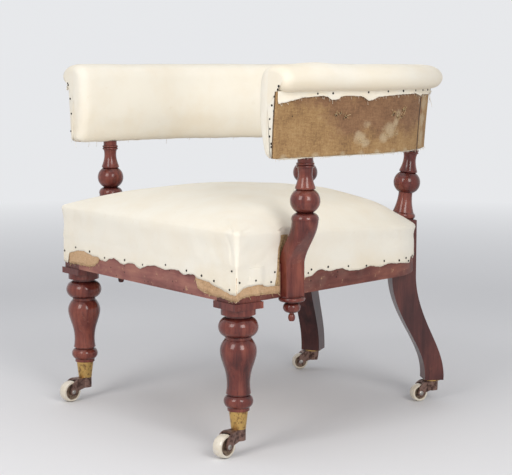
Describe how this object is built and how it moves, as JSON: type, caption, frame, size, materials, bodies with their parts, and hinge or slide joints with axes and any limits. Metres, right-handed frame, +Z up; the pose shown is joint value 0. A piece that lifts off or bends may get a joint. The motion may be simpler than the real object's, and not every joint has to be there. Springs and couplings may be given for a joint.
{
  "type": "library chair",
  "caption": "Bow-backed upholstered library armchair in calico and hessian, on turned mahogany supports and legs with swivelling castors.",
  "frame": {"origin": "on the floor under the middle of the chair", "axes": "+Z up, -Y is the front of the chair, +X to the right as seen from the front"},
  "size_m": [0.7938, 0.7137, 0.7394],
  "materials": {
    "mahogany": "french polished, worn",
    "rail_wood": "dry sawn mahogany with old tack holes",
    "frame_wood": "sawn beech",
    "calico": "plain unbleached calico",
    "hessian": "coarse plain weave, stained",
    "horsehair": "curled hair",
    "webbing": "jute twill",
    "spring_steel": "copper washed wire",
    "tack_iron": "blued",
    "steel": "dull",
    "brass": "worn",
    "horn_bronze": "dark, worn bright at the edges",
    "hub_bronze": "dark, ringed",
    "ceramic": "glazed, rubbed"
  },
  "bodies": {
    "chair": {"back_left_castor_plate": "brass", "back_left_leg": "mahogany", "back_left_post": "mahogany", "back_rail": "rail_wood", "back_right_castor_plate": "brass", "back_right_leg": "mahogany", "back_right_post": "mahogany", "bow_cover": "calico", "bow_inner_hessian": "hessian", "bow_lower_rail_back": "frame_wood", "bow_lower_rail_left": "frame_wood", "bow_lower_rail_right": "frame_wood", "bow_outer_hessian": "hessian", "bow_stuffing": "horsehair", "bow_tacks": "tack_iron", "bow_upper_rail_back": "frame_wood", "bow_upper_rail_left": "frame_wood", "bow_upper_rail_right": "frame_wood", "bow_uprights": "frame_wood", "castor_screws": "steel", "corner_blocks": "frame_wood", "front_left_castor_cup": "brass", "front_left_leg": "mahogany", "front_rail": "rail_wood", "front_right_castor_cup": "brass", "front_right_leg": "mahogany", "left_arm_support": "mahogany", "left_drop_finial": "mahogany", "left_rail": "rail_wood", "right_arm_support": "mahogany", "right_drop_finial": "mahogany", "right_rail": "rail_wood", "seat_canvas": "hessian", "seat_cover": "calico", "seat_springs": "spring_steel", "seat_stuffing": "horsehair", "seat_tacks": "tack_iron", "seat_webbing": "webbing", "support_screws": "steel"},
    "front_left_swivel": {"front_left_castor_horn": "horn_bronze", "front_left_castor_pin": "steel", "front_left_castor_axle": "steel"},
    "front_left_wheel": {"front_left_castor_wheel": "ceramic", "front_left_castor_hub": "hub_bronze"},
    "front_right_swivel": {"front_right_castor_horn": "horn_bronze", "front_right_castor_pin": "steel", "front_right_castor_axle": "steel"},
    "front_right_wheel": {"front_right_castor_wheel": "ceramic", "front_right_castor_hub": "hub_bronze"},
    "back_left_swivel": {"back_left_castor_horn": "horn_bronze", "back_left_castor_pin": "steel", "back_left_castor_axle": "steel"},
    "back_left_wheel": {"back_left_castor_wheel": "ceramic", "back_left_castor_hub": "hub_bronze"},
    "back_right_swivel": {"back_right_castor_horn": "horn_bronze", "back_right_castor_pin": "steel", "back_right_castor_axle": "steel"},
    "back_right_wheel": {"back_right_castor_wheel": "ceramic", "back_right_castor_hub": "hub_bronze"}
  },
  "joints": [
    {"name": "front_left_castor_swivel", "type": "hinge", "parent": "chair", "child": "front_left_swivel", "pos_m": [-0.281, -0.293, 0.049], "axis": [0, 0, 1], "continuous": true},
    {"name": "front_left_wheel_spin", "type": "hinge", "parent": "front_left_swivel", "child": "front_left_wheel", "pos_m": [-0.27661, -0.33477, 0.023], "axis": [-0.9945, -0.1045, 0], "continuous": true},
    {"name": "front_right_castor_swivel", "type": "hinge", "parent": "chair", "child": "front_right_swivel", "pos_m": [0.281, -0.293, 0.049], "axis": [0, 0, 1], "continuous": true},
    {"name": "front_right_wheel_spin", "type": "hinge", "parent": "front_right_swivel", "child": "front_right_wheel", "pos_m": [0.28973, -0.33408, 0.023], "axis": [-0.9781, -0.2079, 0], "continuous": true},
    {"name": "back_left_castor_swivel", "type": "hinge", "parent": "chair", "child": "back_left_swivel", "pos_m": [-0.20282, 0.30608, 0.0453], "axis": [0, 0, 1], "continuous": true},
    {"name": "back_left_wheel_spin", "type": "hinge", "parent": "back_left_swivel", "child": "back_left_wheel", "pos_m": [-0.21729, 0.27642, 0.0195], "axis": [-0.8988, 0.4384, 0], "continuous": true},
    {"name": "back_right_castor_swivel", "type": "hinge", "parent": "chair", "child": "back_right_swivel", "pos_m": [0.20282, 0.30608, 0.0453], "axis": [0, 0, 1], "continuous": true},
    {"name": "back_right_wheel_spin", "type": "hinge", "parent": "back_right_swivel", "child": "back_right_wheel", "pos_m": [0.19484, 0.27407, 0.0195], "axis": [-0.9703, 0.2419, 0], "continuous": true}
  ]
}
